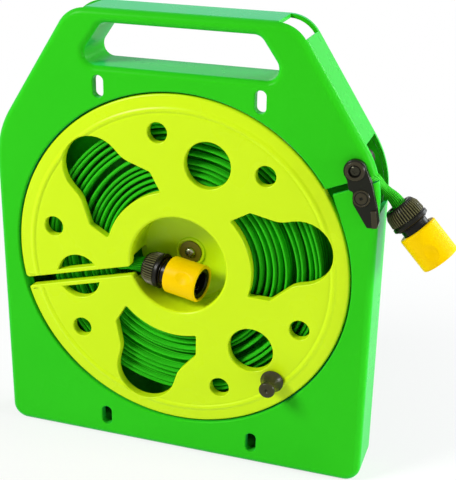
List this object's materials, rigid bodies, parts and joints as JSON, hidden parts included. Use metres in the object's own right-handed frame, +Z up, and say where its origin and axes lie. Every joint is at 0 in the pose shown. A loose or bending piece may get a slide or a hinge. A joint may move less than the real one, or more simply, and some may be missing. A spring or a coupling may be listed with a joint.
{
  "type": "hose reel",
  "caption": "Flat carry case with a grip, holding a round pierced reel of lay-flat garden hose with a winding knob, a hinged hose gate and quick couplings.",
  "frame": {"origin": "centre of the underside that the case stands on", "axes": "+X to the right as the front is seen, +Y to the back, +Z up"},
  "size_m": [0.3618, 0.058, 0.3595],
  "materials": {
    "case_plastic": "smooth moulded, satin",
    "reel_plastic": "smooth moulded, satin",
    "black_plastic": "moulded, satin",
    "sleeve_plastic": "moulded, satin",
    "hose_fabric": "coated woven jacket",
    "steel": "zinc plated",
    "dark_steel": "blackened",
    "rubber": "matt"
  },
  "bodies": {
    "case": {"case_shell": "case_plastic", "back_cover": "case_plastic", "case_screws": "steel", "axle_washer": "black_plastic", "axle_screw": "steel", "upper_roller_pin": "steel", "lower_roller_pin": "steel", "lever_screw": "dark_steel", "hose_outlet": "hose_fabric", "outer_coupling_body": "black_plastic", "outer_clamp_nut": "black_plastic", "outer_grip_ring": "rubber", "outer_sleeve_spring": "steel", "outer_locking_claws": "steel", "outer_seal_ring": "rubber"},
    "reel": {"reel_drum": "reel_plastic", "knob_pin": "steel", "hose_winding": "hose_fabric", "inner_coupling_body": "black_plastic", "inner_clamp_nut": "black_plastic", "inner_grip_ring": "rubber", "inner_sleeve_spring": "steel", "inner_locking_claws": "steel", "inner_seal_ring": "rubber"},
    "knob": {"winding_knob": "black_plastic"},
    "lever": {"gate_lever": "black_plastic"},
    "upper_roller": {"upper_roller": "black_plastic"},
    "lower_roller": {"lower_roller": "black_plastic"},
    "inner_sleeve": {"inner_sliding_sleeve": "sleeve_plastic"},
    "outer_sleeve": {"outer_sliding_sleeve": "sleeve_plastic"}
  },
  "joints": [
    {"name": "reel_spin", "type": "hinge", "parent": "case", "child": "reel", "pos_m": [0, 0, 0.1655], "axis": [0, -1, 0], "continuous": true},
    {"name": "knob_spin", "type": "hinge", "parent": "reel", "child": "knob", "pos_m": [0.07979, -0.029, 0.07993], "axis": [0, -1, 0], "continuous": true},
    {"name": "lever_swing", "type": "hinge", "parent": "case", "child": "lever", "pos_m": [0.135, -0.02, 0.26], "axis": [0, -1, 0], "range_deg": [0, 100]},
    {"name": "upper_roller_spin", "type": "hinge", "parent": "case", "child": "upper_roller", "pos_m": [0.135, 0, 0.26], "axis": [0, -1, 0], "continuous": true},
    {"name": "lower_roller_spin", "type": "hinge", "parent": "case", "child": "lower_roller", "pos_m": [0.141, 0, 0.2405], "axis": [0, -1, 0], "continuous": true},
    {"name": "inner_sleeve_slide", "type": "slide", "parent": "reel", "child": "inner_sleeve", "axis": [-0.9799, 0.175, 0.0955], "range_m": [0, 0.004], "stiffness_N_per_m": 500, "springref_m": -0.004, "deforming": ["inner_sleeve_spring"]},
    {"name": "outer_sleeve_slide", "type": "slide", "parent": "case", "child": "outer_sleeve", "axis": [-0.6767, 0.03, 0.7357], "range_m": [0, 0.004], "stiffness_N_per_m": 500, "springref_m": -0.004, "deforming": ["outer_sleeve_spring"]}
  ],
  "couplings": [
    {"joint": "lower_roller_spin", "follows": "upper_roller_spin", "ratio": -1}
  ]
}
